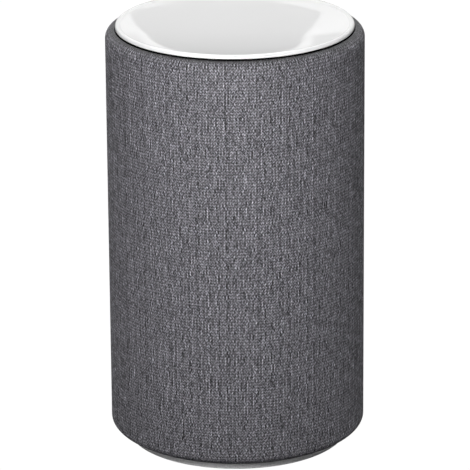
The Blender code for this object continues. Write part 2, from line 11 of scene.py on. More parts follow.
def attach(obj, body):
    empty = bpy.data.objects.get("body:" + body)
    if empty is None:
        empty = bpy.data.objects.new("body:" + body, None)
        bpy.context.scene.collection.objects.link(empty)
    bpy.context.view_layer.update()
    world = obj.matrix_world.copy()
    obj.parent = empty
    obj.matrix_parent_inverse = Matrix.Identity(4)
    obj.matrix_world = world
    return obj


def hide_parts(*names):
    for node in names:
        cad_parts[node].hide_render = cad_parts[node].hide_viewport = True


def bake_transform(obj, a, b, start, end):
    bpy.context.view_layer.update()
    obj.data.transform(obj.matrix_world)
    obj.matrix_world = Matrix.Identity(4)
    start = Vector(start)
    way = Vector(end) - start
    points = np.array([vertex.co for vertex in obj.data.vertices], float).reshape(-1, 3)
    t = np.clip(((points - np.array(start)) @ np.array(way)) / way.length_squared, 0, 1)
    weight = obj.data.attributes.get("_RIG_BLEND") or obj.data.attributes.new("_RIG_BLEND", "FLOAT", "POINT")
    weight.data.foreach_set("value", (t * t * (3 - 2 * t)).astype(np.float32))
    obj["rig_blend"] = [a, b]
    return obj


MM = 0.001
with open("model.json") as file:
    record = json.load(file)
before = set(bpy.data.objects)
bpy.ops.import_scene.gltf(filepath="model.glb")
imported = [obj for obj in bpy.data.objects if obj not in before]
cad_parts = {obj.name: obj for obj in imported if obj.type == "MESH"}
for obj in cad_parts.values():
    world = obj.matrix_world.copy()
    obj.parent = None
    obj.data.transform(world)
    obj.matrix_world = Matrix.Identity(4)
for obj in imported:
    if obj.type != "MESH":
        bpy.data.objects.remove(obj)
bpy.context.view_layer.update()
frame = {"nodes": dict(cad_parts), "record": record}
NODES = frame["nodes"]
scene = bpy.context.scene
PI = math.pi

# ---- camera --------------------------------------------------------------------------------
R = 0.044
ELEV, ROLL, DIST = math.radians(18.9906), math.radians(-0.4245), 30 * R
fw = Vector((0, math.cos(ELEV), -math.sin(ELEV)))
rt = Vector((1, 0, 0))
up = Vector((0, math.sin(ELEV), math.cos(ELEV)))
cr, sr = math.cos(ROLL), math.sin(ROLL)
xc = rt * cr + up * sr
yc = rt * -sr + up * cr
cam_data = bpy.data.cameras.new("camera")
cam_data.sensor_width = 36.0
cam_data.lens = 3823.3 / 470 * 36.0
cam_data.clip_start = 0.01
cam_data.clip_end = 50
cam = bpy.data.objects.new("camera", cam_data)
target = Vector((-0.0106 * R, 0, 1.6285 * R))
m = Matrix.Identity(4)
for i in range(3):
    m[i][0], m[i][1], m[i][2] = xc[i], yc[i], -fw[i]
    m[i][3] = (target - fw * DIST)[i]
cam.matrix_world = m
scene.collection.objects.link(cam)
scene.camera = cam
scene.view_settings.view_transform = "Standard"
scene.view_settings.look = "None"
scene.view_settings.exposure = 0.0
scene.view_settings.gamma = 1.0


# ---- node helpers --------------------------------------------------------------------------
class Graph:
    def __init__(self, tree):
        self.t = tree
        tree.nodes.clear()

    def node(self, kind, **props):
        n = self.t.nodes.new(kind)
        for k, v in props.items():
            setattr(n, k, v)
        return n

    def put(self, socket, value):
        if isinstance(value, bpy.types.NodeSocket):
            self.t.links.new(value, socket)
        else:
            socket.default_value = value

    def m(self, op, a, b=None, c=None, clamp=False):
        n = self.node("ShaderNodeMath", operation=op, use_clamp=clamp)
        for i, v in enumerate((a, b, c)):
            if v is not None:
                self.put(n.inputs[i], v)
        return n.outputs[0]

    def xyz(self, v):
        n = self.node("ShaderNodeSeparateXYZ")
        self.put(n.inputs[0], v)
        return n.outputs[0], n.outputs[1], n.outputs[2]

    def vec(self, x, y, z):
        n = self.node("ShaderNodeCombineXYZ")
        for i, v in enumerate((x, y, z)):
            self.put(n.inputs[i], v)
        return n.outputs[0]

    def noise(self, v, scale=1.0, detail=2.0, rough=0.5, dist=0.0):
        n = self.node("ShaderNodeTexNoise")
        self.put(n.inputs["Vector"], v)
        self.put(n.inputs["Scale"], scale)
        self.put(n.inputs["Detail"], detail)
        self.put(n.inputs["Roughness"], rough)
        self.put(n.inputs["Distortion"], dist)
        return n.outputs["Fac"]

    def white(self, v):
        n = self.node("ShaderNodeTexWhiteNoise", noise_dimensions="3D")
        self.put(n.inputs["Vector"], v)
        return n.outputs["Value"]

    def ramp(self, fac, lo, hi, a=0.0, b=1.0, smooth=True):
        n = self.node("ShaderNodeMapRange", interpolation_type="SMOOTHSTEP" if smooth else "LINEAR")
        n.clamp = True
        self.put(n.inputs["Value"], fac)
        self.put(n.inputs["From Min"], lo)
        self.put(n.inputs["From Max"], hi)
        self.put(n.inputs["To Min"], a)
        self.put(n.inputs["To Max"], b)
        return n.outputs[0]

    def mixc(self, fac, a, b):
        n = self.node("ShaderNodeMix", data_type="RGBA")
        self.put(n.inputs["Factor"], fac)
        self.put(n.inputs["A"], a)
        self.put(n.inputs["B"], b)
        return n.outputs["Result"]

    def grey(self, v, tint=(1, 1, 1)):
        return self.vec(self.m("MULTIPLY", v, tint[0]), self.m("MULTIPLY", v, tint[1]), self.m("MULTIPLY", v, tint[2]))

    def bump(self, height, strength=1.0, distance=0.0001, normal=None):
        n = self.node("ShaderNodeBump")
        self.put(n.inputs["Height"], height)
        self.put(n.inputs["Strength"], strength)
        self.put(n.inputs["Distance"], distance)
        if normal is not None:
            self.put(n.inputs["Normal"], normal)
        return n.outputs[0]


def new_material(name):
    mat = bpy.data.materials.new(name)
    mat.use_nodes = True
    g = Graph(mat.node_tree)
    out = g.node("ShaderNodeOutputMaterial")
    bsdf = g.node("ShaderNodeBsdfPrincipled")
    g.t.links.new(bsdf.outputs[0], out.inputs[0])
    return mat, g, bsdf


def coords(g):
    """Object coordinates in millimetres."""
    tc = g.node("ShaderNodeTexCoord")
    n = g.node("ShaderNodeVectorMath", operation="SCALE")
    g.put(n.inputs[0], tc.outputs["Object"])
    n.inputs["Scale"].default_value = 1000.0
    return n.outputs[0]


def plastic(name, colour, rough, grain=0.35, grain_scale=6.0, vary=0.06, spec=0.5, metallic=0.0, streak=None, coat=0.0):
    """Moulded or painted surface: a fine grain in the normal, slow drift in tone and gloss."""
    mat, g, b = new_material(name)
    p = coords(g)
    slow = g.noise(p, 0.08, 3.0, 0.55)
    fine = g.noise(p, grain_scale, 3.0, 0.6)
    tone = g.m("MULTIPLY_ADD", g.m("SUBTRACT", slow, 0.5), vary * 2, 1.0)
    if streak:
        x, y, z = g.xyz(p)
        ang = g.m("ARCTAN2", y, x)
        s = g.noise(g.vec(g.m("MULTIPLY", g.m("COSINE", ang), streak[0]), g.m("MULTIPLY", g.m("SINE", ang), streak[0]), g.m("MULTIPLY", z, streak[1])), 1.0, 3.0, 0.6)
        tone = g.m("MULTIPLY", tone, g.m("MULTIPLY_ADD", g.m("SUBTRACT", s, 0.5), streak[2], 1.0))
    col = g.vec(*[g.m("MULTIPLY", tone, c) for c in colour])
    g.put(b.inputs["Base Color"], col)
    g.put(b.inputs["Roughness"], g.m("MULTIPLY_ADD", g.m("SUBTRACT", slow, 0.5), 0.12, rough))
    b.inputs["Metallic"].default_value = metallic
    b.inputs["Specular IOR Level"].default_value = spec
    b.inputs["Coat Weight"].default_value = coat
    if grain:
        g.put(b.inputs["Normal"], g.bump(fine, grain, 0.00003))
    return mat


# ---- fabric --------------------------------------------------------------------------------
WALES = 266
COURSE = 1.04
TILE_W, TILE_C = 10, 10  # the knitted repeat, in wales and courses
F_LEG_TILE, F_LEG_FREE, F_HALF, F_DASH, F_COL, F_FIBRE, F_STITCH_SHADE, F_SLOW, F_ALB = 0.62, 0.34, 0.75, 0.36, 0.30, 1.15, 0.86, 0.07, 0.1395


def fabric(name="knit_heather"):
    """Jersey knit in a heather yarn: V-shaped stitches, each leg its own shade, in a repeat that comes back every ten wales."""
    mat, g, b = new_material(name)
    p = coords(g)
    x, y, z = g.xyz(p)
    ang = g.m("ARCTAN2", x, g.m("MULTIPLY", y, -1.0))
    at = g.node("ShaderNodeAttribute", attribute_name="course", attribute_type="GEOMETRY")
    run = at.outputs["Fac"]
    u = g.m("MULTIPLY_ADD", ang, WALES / (2 * PI), WALES / 2)
    v = g.m("DIVIDE", run, COURSE)
    # a slight waver of the wales and courses
    waver = g.noise(p, 0.22, 2.0, 0.5)
    u = g.m("ADD", u, g.m("MULTIPLY", g.m("SUBTRACT", waver, 0.5), 0.35))
    v = g.m("ADD", v, g.m("MULTIPLY", g.m("SUBTRACT", g.noise(p, 0.19, 2.0, 0.5), 0.5), 0.35))
    su = g.m("SUBTRACT", u, g.m("FLOOR", u))
    mid = g.m("ABSOLUTE", g.m("MULTIPLY_ADD", su, 2.0, -1.0))  # 0 in the middle of the stitch, 1 at its sides
    slant = g.m("MULTIPLY_ADD", mid, 0.75, v)
    sv = g.m("SUBTRACT", slant, g.m("FLOOR", slant))
    across = g.m("POWER", g.m("MAXIMUM", g.m("SINE", g.m("MULTIPLY", mid, PI)), 0.0), 0.7)
    along = g.m("SINE", g.m("MULTIPLY", sv, PI))
    stitch = g.m("MULTIPLY", across, g.m("MULTIPLY_ADD", along, 0.9, 0.1))
    side = g.m("FLOOR", g.m("MULTIPLY", u, 2.0))
    row = g.m("FLOOR", slant)
    side_t = g.m("FLOORED_MODULO", side, TILE_W * 2.0)
    row_t = g.m("FLOORED_MODULO", row, float(TILE_C))
    ca, sa = g.m("COSINE", ang), g.m("SINE", ang)

    def wrap(pitch_u, pitch_v, detail):
        k = 44.0 / pitch_u
        return g.noise(g.vec(g.m("MULTIPLY", ca, k), g.m("MULTIPLY", sa, k), g.m("DIVIDE", run, pitch_v)), 1.0, detail, 0.6)

    def centred(value, amount):
        return g.m("MULTIPLY", g.m("SUBTRACT", value, 0.5), amount)

    def legs(a, c, seed):
        """One shade per leg, with its neighbours on either side pushed the other way."""
        near = g.m("ADD", g.white(g.vec(g.m("SUBTRACT", a, 1.0), c, seed)), g.white(g.vec(g.m("ADD", a, 1.0), c, seed)))
        return g.m("MULTIPLY_ADD", near, -0.42, g.m("ADD", g.white(g.vec(a, c, seed)), 0.42))

    dash = g.m("FLOOR", g.m("MULTIPLY_ADD", g.white(g.vec(side, 1.0, 2.0)), 3.0, g.m("DIVIDE", v, 3.0)))
    mix = centred(legs(side_t, row_t, 3.0), F_LEG_TILE)
    mix = g.m("ADD", mix, centred(legs(side, row, 5.0), F_LEG_FREE))
    mix = g.m("ADD", mix, centred(legs(side_t, dash, 7.0), F_DASH))
    mix = g.m("ADD", mix, centred(legs(side, g.m("FLOOR", g.m("MULTIPLY", slant, 2.0)), 13.0), F_HALF))
    mix = g.m("ADD", mix, centred(legs(side_t, 0.0, 11.0), F_COL))
    strong = g.m("MULTIPLY_ADD", g.m("COMPARE", g.m("FLOORED_MODULO", side, 6.0), 1.0, 1.6), 0.5, 0.75)
    mix = g.m("MULTIPLY", mix, strong)
    mix = g.m("ADD", mix, centred(g.white(g.vec(g.m("FLOOR", g.m("MULTIPLY", u, 4.0)), g.m("FLOOR", g.m("MULTIPLY", v, 3.0)), 17.0)), F_FIBRE))
    mix = g.m("ADD", mix, centred(wrap(3.5, 6.0, 2.0), F_SLOW))
    tone = g.m("POWER", g.m("MAXIMUM", g.m("ADD", mix, 1.0), 0.2), 1.3)
    # painted shade: each stitch is painted darker towards its edges and in the hollows between the loops
    tone = g.m("MULTIPLY", tone, g.m("MULTIPLY_ADD", stitch, F_STITCH_SHADE * 2.0, 1.0 - F_STITCH_SHADE))
    # painted shade: the cloth is painted darker just under the trim and over the shoulder, a little darker towards the
    # bottom, and darker again at the heel where it curls in underneath
    painted_shade = g.m("MULTIPLY", g.ramp(z, 146.0, 145.7, 0.5, 1.0), g.m("MULTIPLY", g.ramp(z, 146.6, 143.6, 0.69, 1.0), g.ramp(z, 2.0, 55.0, 0.945, 1.0)))
    # painted shade at the heel, where the cloth curls in under the base
    painted_shade = g.m("MULTIPLY", painted_shade, g.ramp(z, 2.2, 4.6, 0.8, 1.0))
    g.put(b.inputs["Base Color"], g.grey(g.m("MULTIPLY", g.m("MULTIPLY", tone, painted_shade), F_ALB), (1.005, 0.985, 1.09)))
    b.inputs["Roughness"].default_value = 0.5
    b.inputs["Specular IOR Level"].default_value = 0.3
    fuzz = g.noise(p, 9.0, 2.0, 0.6)
    g.put(b.inputs["Normal"], g.bump(g.m("MULTIPLY_ADD", fuzz, 0.3, stitch), 0.25, 0.0002))
    return mat


# ---- turned meshes -------------------------------------------------------------------------
def turned_mesh(name, pts, segs, close=True, radial=None, course=None, sharp=40.0):
    """pts: (radius, z) in mm, outer side top to bottom. radial(k) adds mm to the radius of column k. Loop closed unless it ends on the axis."""
    pts = [(float(r), float(z)) for r, z in pts]
    axis_top, axis_end = pts[0][0] == 0, pts[-1][0] == 0
    n = len(pts)
    ring = [i for i, (r, z) in enumerate(pts) if r > 0]
    ang = np.arange(segs) * 2 * PI / segs - PI / 2
    ca, sa = np.cos(ang), np.sin(ang)
    verts, index = [], {}
    for i in ring:
        r, z = pts[i]
        rr = np.full(segs, r)
        if radial is not None:
            rr = rr + radial(i, r, z, segs)
        index[i] = len(verts)
        verts.extend(zip(rr * ca * MM, rr * sa * MM, np.full(segs, z * MM)))
    poles = {}
    for i in (0, n - 1):
        if pts[i][0] == 0:
            poles[i] = len(verts)
            verts.append((0, 0, pts[i][1] * MM))
    faces = []
    pairs = [(i, i + 1) for i in range(n - 1)]
    if close and not (axis_top and axis_end):
        pairs.append((n - 1, 0))
    for a, b in pairs:
        if a in poles and b in poles:
            continue
        if a in poles:
            k0 = index[b]
            faces += [(poles[a], k0 + k, k0 + (k + 1) % segs) for k in range(segs)]
        elif b in poles:
            k0 = index[a]
            faces += [(k0 + (k + 1) % segs, k0 + k, poles[b]) for k in range(segs)]
        else:
            p, q = index[a], index[b]
            faces += [(p + k, q + k, q + (k + 1) % segs, p + (k + 1) % segs) for k in range(segs)]
    mesh = bpy.data.meshes.new(name)
    mesh.from_pydata([tuple(v) for v in verts], [], faces)
    mesh.update()
    if course is not None:
        att = mesh.attributes.new("course", "FLOAT", "POINT")
        vals = np.zeros(len(verts), dtype=np.float32)
        for i in ring:
            vals[index[i]:index[i] + segs] = course[i]
        att.data.foreach_set("value", vals)
    mesh.polygons.foreach_set("use_smooth", [True] * len(mesh.polygons))
    if sharp:
        mesh.set_sharp_from_angle(angle=math.radians(sharp))
    obj = bpy.data.objects.new(name, mesh)
    scene.collection.objects.link(obj)
    return obj


def arc(cx, cz, a, b, start, end, steps):
    return [(cx + a * math.cos(math.radians(start + (end - start) * i / steps)), cz + b * math.sin(math.radians(start + (end - start) * i / steps))) for i in range(steps + 1)]


def finish_piece(obj, mat, body="chassis", nodes=()):
    obj.data.materials.clear()
    obj.data.materials.append(mat)
    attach(obj, body)
    if nodes:
        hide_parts(*nodes)
    return obj


# ---- dish ----------------------------------------------------------------------------------
DISH_R, LIP_Z = 38.7, 147.55
DISH_FLOOR_Z = 145.0
BOWL_RHO = (DISH_R ** 2 + (LIP_Z - DISH_FLOOR_Z) ** 2) / (2 * (LIP_Z - DISH_FLOOR_Z))


def dish_profile():
    """The shallow bowl, easing into its lip over the last half millimetre."""
    rs = list(np.linspace(0, DISH_R - 0.5, 60)) + list(np.linspace(DISH_R - 0.5, DISH_R, 6)[1:])
    return [(float(r), float(DISH_FLOOR_Z + BOWL_RHO - math.sqrt(BOWL_RHO ** 2 - r * r))) for r in rs]


bowl = dish_profile()
crown = [(38.95, 147.74), (39.2, 147.88), (39.5, 147.97), (39.8, 147.99), (40.1, 147.92), (40.35, 147.76), (40.53, 147.52), (40.64, 147.2), (40.69, 146.9), (40.66, 146.78), (40.55, 146.75)]
under = [(39.6, 146.75), (38.4, 146.75), (38.35, 146.4), (38.2, 143.2), (36.6, 143.2), (36.5, 144.5)]
low = [(r, z - 1.6) for r, z in reversed(bowl) if r < 36.0]
dish = turned_mesh("top_dish_gloss", bowl + crown + under + low, 256)

# ---- sleeve --------------------------------------------------------------------------------
sleeve_pts = [(39.9, 144.4), (40.45, 145.0), (40.62, 145.6), (40.72, 146.0)] + arc(40.8, 143.0, 3.2, 3.2, 89, 0, 16)
sleeve_pts += [(44.0, z) for z in np.concatenate([np.linspace(143.0, 22.0, 20)[1:], np.arange(21.6, 6.8, -0.4)])]
sleeve_pts += arc(35.6, 6.5, 8.4, 4.2, 0, -82, 16) + [(36.75, 2.7), (36.6, 3.3), (36.7, 4.2)]
course = [0.0]
for (r0, z0), (r1, z1) in zip(sleeve_pts, sleeve_pts[1:]):
    course.append(course[-1] + math.hypot(r1 - r0, z1 - z0))
wall_start = 4 + 16
course = [143.0 + course[wall_start] - c for c in course]
RIB = 0.12


def ribs(i, r, z, segs):
    k = np.arange(segs) % 4
    return np.choose(k, [-0.5, 0.3, 0.5, 0.3]) * RIB


sleeve = turned_mesh("knit_sleeve", sleeve_pts, WALES * 4, close=False, radial=ribs, course=course, sharp=None)

# ---- the port opening at the back ------------------------------------------------------------
PORT_Z, PORT_W, PORT_H = 14.2, 32.0, 12.0


def oblong(w, h, n=28):
    r, half = h / 2, (w - h) / 2
    t = np.linspace(-PI / 2, PI / 2, n)
    right = np.stack([half + r * np.cos(t), r * np.sin(t)], 1)
    return np.concatenate([right, -right])


def circle(cx, cy, r, n=48):
    t = np.arange(n) * 2 * PI / n
    return np.stack([cx + r * np.cos(t), cy + r * np.sin(t)], 1)


def round_rect(cx, cy, w, h, r, n=7):
    pts = []
    for qx, qy, a0 in ((1, -1, -90), (1, 1, 0), (-1, 1, 90), (-1, -1, 180)):
        for t in np.radians(np.linspace(a0, a0 + 90, n)):
            pts.append((cx + qx * (w / 2 - r) + r * math.cos(t), cy + qy * (h / 2 - r) + r * math.sin(t)))
    return np.array(pts)


def inside(loop, q):
    x0, y0 = loop[:, 0], loop[:, 1]
    x1, y1 = np.roll(x0, -1), np.roll(y0, -1)
    hit = ((y0 > q[1]) != (y1 > q[1])) & (q[0] < (x1 - x0) * (q[1] - y0) / (y1 - y0 + 1e-12) + x0)
    return bool(np.count_nonzero(hit) % 2)


def plate(name, outer, holes, to3d, bevel=0.25, depth=2.0, step=1.0):
    """A faced plate: outer and holes are functions of an offset giving anticlockwise loops; edges are rounded, walls run down to depth."""
    rims = [outer(-bevel)] + [h(bevel) for h in holes]
    pts, edges = [], []
    for loop in rims:
        n0 = len(pts)
        pts += [Vector(q) for q in loop]
        edges += [(n0 + k, n0 + (k + 1) % len(loop)) for k in range(len(loop))]
    lo2, hi2 = rims[0].min(0), rims[0].max(0)
    for gx in np.arange(lo2[0] + step / 2, hi2[0], step):
        for gy in np.arange(lo2[1] + step / 2, hi2[1], step):
            q = (gx, gy)
            near = min(float(np.min(np.hypot(loop[:, 0] - gx, loop[:, 1] - gy))) for loop in rims)
            if near > step * 0.35 and inside(rims[0], q) and not any(inside(h, q) for h in rims[1:]):
                pts.append(Vector(q))
    vo, _, fo, *_ = delaunay_2d_cdt(pts, edges, [], 1, 1e-6)
    bm = bmesh.new()
    top = [bm.verts.new([c * MM for c in to3d(q[0], q[1], 0.0)]) for q in vo]
    for f in fo:
        a, b_, c = (vo[i] for i in f[:3])
        mid_q = ((a[0] + b_[0] + c[0]) / 3, (a[1] + b_[1] + c[1]) / 3)
        if not inside(rims[0], mid_q) or any(inside(h, mid_q) for h in rims[1:]):
            continue
        ccw = (b_[0] - a[0]) * (c[1] - a[1]) - (b_[1] - a[1]) * (c[0] - a[0]) > 0
        bm.faces.new([top[i] for i in (f if ccw else f[::-1])])
    steps = [(math.radians(t), None) for t in (0, 22.5, 45, 67.5, 90)]
    for which, shape in enumerate([outer] + list(holes)):
        sign = 1 if which == 0 else -1
        rows = []
        for t, _n in steps:
            rows.append((sign * -bevel * (1 - math.sin(t)), bevel * (1 - math.cos(t))))
        rows.append((0.0, depth))
        prev = None
        for off, d in rows:
            loop = shape(off)
            if which:
                loop = loop[::-1]
            cur = [bm.verts.new([c * MM for c in to3d(q[0], q[1], d)]) for q in loop]
            if prev:
                n = len(cur)
                for k in range(n):
                    bm.faces.new([prev[k], cur[k], cur[(k + 1) % n], prev[(k + 1) % n]])
            prev = cur
    bmesh.ops.remove_doubles(bm, verts=bm.verts, dist=1e-6)
    mesh = bpy.data.meshes.new(name)
    bm.to_mesh(mesh)
    bm.free()
    mesh.polygons.foreach_set("use_smooth", [True] * len(mesh.polygons))
    mesh.set_sharp_from_angle(angle=math.radians(38))
    obj = bpy.data.objects.new(name, mesh)
    scene.collection.objects.link(obj)
    return obj


def cut_port(obj, grow):
    """Open the sleeve round the port: rows are snapped to the oblong's edge, the middle is removed and the edge is turned in."""
    bm = bmesh.new()
    bm.from_mesh(obj.data)
    layer = bm.verts.layers.float["course"]
    half, r = (PORT_W - PORT_H) / 2, PORT_H / 2 + grow
    gone = []
    for v in bm.verts:
        x, z = v.co.x * 1000, v.co.z * 1000 - PORT_Z
        if v.co.y < 0 or abs(x) >= half + r:
            continue
        over = max(abs(x) - half, 0.0)
        edge = math.sqrt(max(r * r - over * over, 0.0))
        if abs(z) < edge - 0.4 or edge < 0.05:
            gone.append(v) if abs(z) < edge - 0.4 else None
        elif abs(z) < edge:
            new = math.copysign(edge, z)
            v[layer] += new - z
            v.co.z = (PORT_Z + new) * MM
    bmesh.ops.delete(bm, geom=gone, context="VERTS")
    rim = [e for e in bm.edges if e.is_boundary and all(v.co.y > 0.03 and abs(v.co.x) < 0.018 and 0.0068 < v.co.z < 0.0216 for v in e.verts)]
    for inward in (0.15, 0.85):
        made = bmesh.ops.extrude_edge_only(bm, edges=rim)["geom"]
        for v in (q for q in made if isinstance(q, bmesh.types.BMVert)):
            v.co.x *= 1 - inward / 44
            v.co.y *= 1 - inward / 44
        rim = [e for e in made if isinstance(e, bmesh.types.BMEdge) and e.is_boundary and all(w in made for w in e.verts)]
    for f in bm.faces:
        f.smooth = True
    bm.to_mesh(obj.data)
    bm.free()


cut_port(sleeve, 0.35)


def on_back(radius):
    return lambda u, v, d: (-u * (radius - d) / radius, math.sqrt(max((radius - d) ** 2 - u * u, 0.0)), PORT_Z + v)


panel = plate("port_panel_face", lambda d: oblong(PORT_W + 2 * d, PORT_H + 2 * d), [lambda d: circle(0, 0, 4.45 + d, 64), lambda d: circle(10.5, 0, 0.9 + d, 28), lambda d: round_rect(-10.5, 0, 5.8 + 2 * d, 2.7 + 2 * d, 0.45)], on_back(43.9), bevel=0.3, depth=2.9, step=0.9)
well = plate("port_well", lambda d: oblong(PORT_W + 1.6 + 2 * d, PORT_H + 1.6 + 2 * d), [lambda d: circle(0, 0, 4.3 + d, 48)], on_back(41.6), bevel=0.05, depth=0.6, step=1.5)


def spun_y(name, pts, cx, segs):
    """A profile of (radius, y) turned about a line along Y at x = cx, z = PORT_Z."""
    o = turned_mesh(name, [(r, y) for r, y in pts], segs, close=False)
    for v in o.data.vertices:
        x, y, z = v.co
        v.co = (cx * MM + x, z, PORT_Z * MM - y)
    o.data.update()
    return o


collar = spun_y("jack_collar", [(3.15, 33.0), (3.15, 43.1), (3.25, 43.45), (3.5, 43.68), (3.85, 43.72), (4.1, 43.6), (4.25, 43.3), (4.25, 39.0)][::-1], 0, 64)
jack_pin = spun_y("jack_pin_tip", [(0, 40.6), (0.55, 40.5), (0.85, 40.2), (0.98, 39.8), (1.0, 31.0)], 0, 32)
reset = spun_y("reset_button_cap", [(0, 37.05), (0.9, 37.1), (1.25, 37.25), (1.4, 37.2), (1.5, 37.0), (1.5, 35.5), (0, 35.5)], -10.5, 36)
knob = plate("mute_slider_knob", lambda d: round_rect(-9.3, 0, 2.8 + 2 * d, 2.0 + 2 * d, 0.5), [], on_back(42.8), bevel=0.22, depth=6.0, step=0.12)
for v in knob.data.vertices:
    x, z = v.co.x * 1000 - 9.3, v.co.z * 1000 - PORT_Z
    if abs(x) < 1.1 and abs(z) < 0.72 and v.co.y > 0.0412:
        v.co.y -= 0.00016 * (0.5 - 0.5 * math.cos(x * 2 * PI / 0.55))

# ---- underside -------------------------------------------------------------------------------
screw_at = [(19 * math.cos(math.radians(a)), 19 * math.sin(math.radians(a))) for a in (45, 135, 225, 315)]
cover = plate("base_cover_face", lambda d: circle(0, 0, 25.2 + d, 160), [(lambda d, q=q: circle(q[0], q[1], 2.6 + d, 40)) for q in screw_at], lambda u, v, d: (u, -v, 0.6 + d + (0.25 if abs(math.hypot(u, v) - 13.0) < 0.5 else 0.0)), bevel=0.3, depth=1.7, step=0.7)
cover_low = turned_mesh("base_cover_shelf", [(0, 2.3), (25.4, 2.3), (25.4, 1.5), (34.3, 1.5), (34.5, 1.7), (34.5, 3.4), (0, 3.4)][::-1], 128, close=False)
heads = []
for k, (x, y) in enumerate(screw_at, 1):
    prof = [(0.0, 1.1)] + [(2.2 * math.sin(t), 1.55 - 0.45 * math.cos(t)) for t in np.linspace(0.04, PI / 2, 30)] + [(2.2, 2.0), (2.1, 2.25), (1.05, 2.25), (1.05, 8.0), (0, 10.5)]
    o = turned_mesh(f"base_screw_head_{k}", prof[::-1], 72, close=False)
    for v in o.data.vertices:
        px, py = v.co.x * 1000, v.co.y * 1000
        if v.co.z < 0.0018:
            arm, run = min(abs(px), abs(py)), max(abs(px), abs(py))
            t = min(max((0.42 - arm) / 0.14, 0), 1) * min(max((1.35 - run) / 0.3, 0), 1)
            v.co.z += 0.0007 * t * t * (3 - 2 * t)
        v.co.x += x * MM
        v.co.y += y * -MM
    o.data.update()
    heads.append(o)


# ---- base ring, trim, foot -------------------------------------------------------------------
base_ring = turned_mesh("base_ring_satin", [(34.6, 5.0), (36.3, 5.0), (36.4, 4.9), (36.4, 2.05), (36.5, 1.97), (37.6, 1.97), (37.85, 1.87), (37.98, 1.7), (38.0, 1.5), (38.0, 0.4), (37.95, 0.2), (37.8, 0.08), (37.5, 0.04), (34.8, 0.04), (34.6, 0.2)], 192)
trim = turned_mesh("top_trim_black", [(38.75, 146.25), (38.8, 146.3), (40.25, 146.3), (40.35, 146.2), (40.35, 143.2), (38.75, 143.2)], 192)
foot = turned_mesh("foot_pad_rubber", [(25.5, 1.2), (34.3, 1.2), (34.3, 0.3), (34.2, 0.12), (34.0, 0.0), (31.2, 0.0), (31.05, 0.15), (30.75, 0.15), (30.6, 0.0), (29.2, 0.0), (29.05, 0.15), (28.75, 0.15), (28.6, 0.0), (25.8, 0.0), (25.6, 0.1), (25.5, 0.3)], 160)

# ---- materials -----------------------------------------------------------------------------
M_FABRIC = fabric()
M_WHITE = plastic("white_gloss", (0.83, 0.83, 0.83), 0.025, grain=0.0, vary=0.005, spec=0.5)
M_BLACK = plastic("black_moulded", (0.018, 0.018, 0.02), 0.42, grain=0.4)
M_JACK = plastic("jack_black", (0.03, 0.03, 0.032), 0.3, grain=0.2)
M_PIN = plastic("plated_pin", (0.6, 0.59, 0.56), 0.28, grain=0.3, grain_scale=3.0, metallic=1.0)
M_GAP = plastic("gap_black", (0.004, 0.004, 0.004), 0.8, grain=0.2, spec=0.05)
M_RING = plastic("ring_satin", (0.95, 0.95, 0.96), 0.5, grain=0.25, metallic=0.35, streak=(60.0, 0.8, 0.5))
M_RUBBER = plastic("foot_rubber", (0.035, 0.035, 0.036), 0.75, grain=0.8, grain_scale=3.0)

finish_piece(dish, M_WHITE, nodes=("top_dish",))
finish_piece(sleeve, M_FABRIC, nodes=("fabric_sleeve",))
finish_piece(base_ring, M_RING, nodes=("base_ring",))
finish_piece(trim, M_GAP, nodes=("top_trim_ring",))
finish_piece(foot, M_RUBBER, nodes=("foot_pad",))
finish_piece(panel, M_BLACK, nodes=("port_panel",))
finish_piece(well, M_BLACK)
finish_piece(collar, M_JACK)
finish_piece(jack_pin, M_PIN)
finish_piece(reset, M_JACK, body="reset_button", nodes=("reset_button",))
finish_piece(knob, M_WHITE, body="mute_slider", nodes=("mute_slider",))
finish_piece(cover, M_BLACK, nodes=("base_cover",))
finish_piece(cover_low, M_BLACK)
for k, o in enumerate(heads, 1):
    finish_piece(o, M_PIN, nodes=(f"base_screw_{k}",))

INNER = {
    "black_plastic": M_BLACK, "gloss_white": M_WHITE, "soft_rubber": M_RUBBER, "satin_grey": M_RING, "knit_fabric": M_FABRIC,
    "diffuser": plastic("milky_guide", (0.85, 0.87, 0.9), 0.35, grain=0.1, vary=0.01),
    "circuit_board": plastic("solder_mask", (0.012, 0.085, 0.03), 0.35, grain=0.2, grain_scale=2.0, vary=0.12),
    "steel": plastic("plated_steel", (0.58, 0.58, 0.6), 0.3, grain=0.3, grain_scale=3.0, metallic=1.0),
    "black_steel": plastic("black_coat", (0.03, 0.03, 0.03), 0.45, grain=0.6, grain_scale=4.0),
    "aluminium": plastic("plain_aluminium", (0.7, 0.7, 0.72), 0.32, grain=0.3, metallic=1.0),
    "ferrite": plastic("sintered_ferrite", (0.05, 0.05, 0.055), 0.6, grain=0.7, grain_scale=2.5),
    "paper_cone": plastic("pressed_paper", (0.045, 0.045, 0.045), 0.85, grain=0.9, grain_scale=3.0),
    "cotton": plastic("resin_cotton", (0.42, 0.27, 0.1), 0.8, grain=0.9, grain_scale=4.0),
    "copper": plastic("wound_copper", (0.72, 0.33, 0.16), 0.32, grain=0.4, metallic=1.0),
    "foam": plastic("open_foam", (0.1, 0.1, 0.1), 0.98, grain=1.0, grain_scale=1.2),
    "film": plastic("amber_film", (0.5, 0.28, 0.06), 0.35, grain=0.1),
    "silk": plastic("coated_silk", (0.33, 0.31, 0.28), 0.6, grain=0.6),
}

